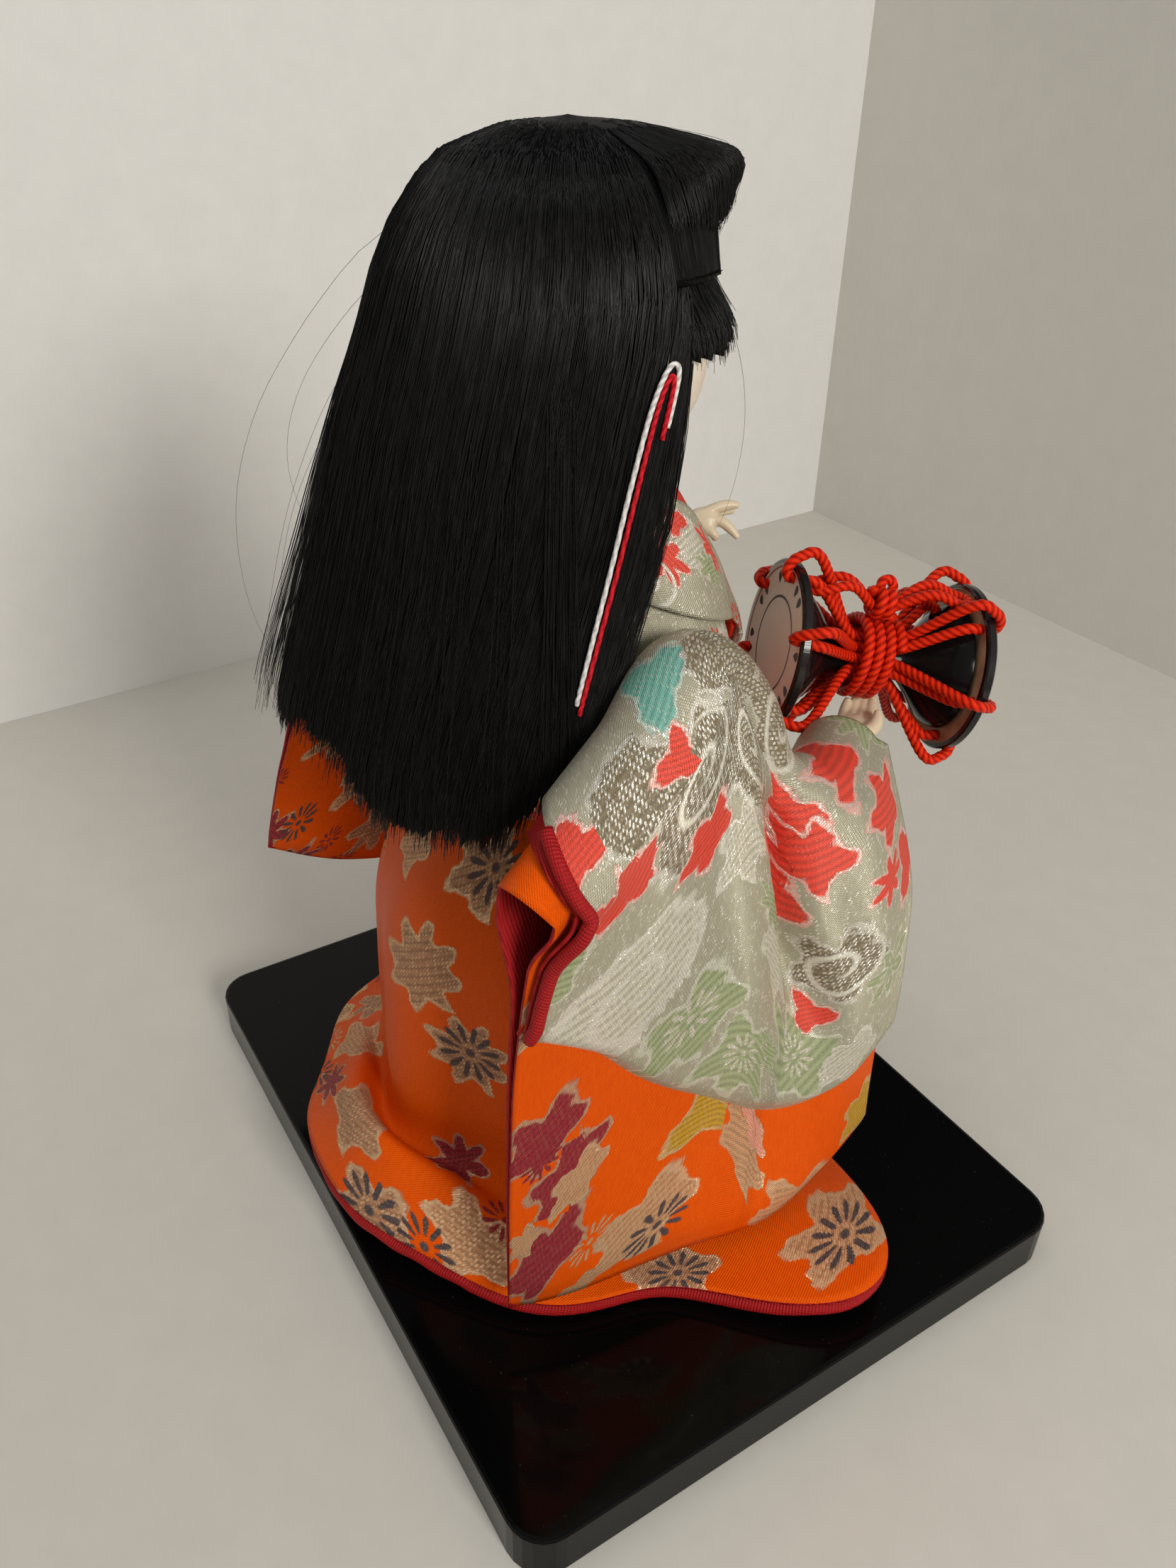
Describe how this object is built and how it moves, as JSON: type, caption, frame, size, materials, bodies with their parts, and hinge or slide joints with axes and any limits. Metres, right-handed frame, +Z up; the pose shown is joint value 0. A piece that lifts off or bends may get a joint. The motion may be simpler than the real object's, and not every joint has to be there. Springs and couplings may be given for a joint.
{
  "type": "hina musician doll",
  "caption": "Standing display doll in layered brocade robes with long hair, holding a small hourglass drum, on a black lacquered board.",
  "frame": {"origin": "centre of the board's underside", "axes": "+Z up; the doll faces -Y, so its right hand and the board's left end seen from the front are on -X"},
  "size_m": [0.15, 0.1298, 0.1955],
  "materials": {
    "lacquer": "black lacquer, high gloss",
    "wood": "plain turned softwood",
    "steel": "plain steel wire and screw",
    "straw": "bound straw core, paper covered",
    "padding": "cotton padding",
    "orange_brocade": "orange satin brocade with gold and coloured figures",
    "green_brocade": "celadon satin brocade with silver thread",
    "crimson_lining": "plain weave crimson lining",
    "white_silk": "plain pale silk",
    "skin": "pale shell-white paint, satin",
    "eye": "dark glass",
    "hair": "black silk thread, combed straight",
    "red_cord": "vermilion twisted cord",
    "white_cord": "white twisted paper cord",
    "drum_lacquer": "black lacquer, gloss",
    "drum_skin": "painted skin on a rolled rim"
  },
  "bodies": {
    "base": {"base_board": "lacquer", "base_peg": "wood", "base_screw": "steel"},
    "doll": {"leg_core": "wood", "core_dowel": "wood", "body_core": "straw", "arm_wire": "steel", "right_arm_pad": "padding", "left_arm_pad": "padding", "right_hand": "skin", "kimono_bodice": "orange_brocade", "jacket_body": "green_brocade", "obi": "orange_brocade", "obi_cord": "red_cord", "jacket_collar": "green_brocade", "crimson_collar": "crimson_lining", "white_collar": "white_silk", "skirt": "orange_brocade", "hem_roll": "crimson_lining", "right_inner_sleeve": "orange_brocade", "right_sleeve_lining": "crimson_lining", "right_outer_sleeve": "green_brocade", "left_inner_sleeve": "orange_brocade", "left_sleeve_lining": "crimson_lining", "left_outer_sleeve": "green_brocade", "drum_body": "drum_lacquer", "drum_head_near": "drum_skin", "drum_head_far": "drum_skin", "drum_tension_cord": "red_cord", "drum_waist_lashing": "red_cord", "drum_bow": "red_cord"},
    "neck": {"neck_peg": "wood"},
    "head": {"head": "skin", "right_eye": "eye", "left_eye": "eye", "hair_crown": "hair", "bangs": "hair", "right_side_lock": "hair", "left_side_lock": "hair", "hair_fall": "hair", "right_hair_cord_red": "red_cord", "right_hair_cord_white": "white_cord", "left_hair_cord_red": "red_cord", "left_hair_cord_white": "white_cord"},
    "left_hand": {"left_hand": "skin"}
  },
  "joints": [
    {"name": "doll_lift", "type": "slide", "parent": "base", "child": "doll", "axis": [0, 0, 1], "range_m": [0, 0.05]},
    {"name": "head_pull", "type": "slide", "parent": "doll", "child": "neck", "axis": [0, 0, 1], "range_m": [0, 0.026]},
    {"name": "head_turn", "type": "hinge", "parent": "neck", "child": "head", "pos_m": [0.004, 0.007, 0.14185], "axis": [0, 0, 1], "range_deg": [-4, 2]},
    {"name": "left_hand_turn", "type": "hinge", "parent": "doll", "child": "left_hand", "pos_m": [0.025, -0.029, 0.1235], "axis": [-0.7424, -0.583, 0.3301], "range_deg": [-30, 30]}
  ]
}
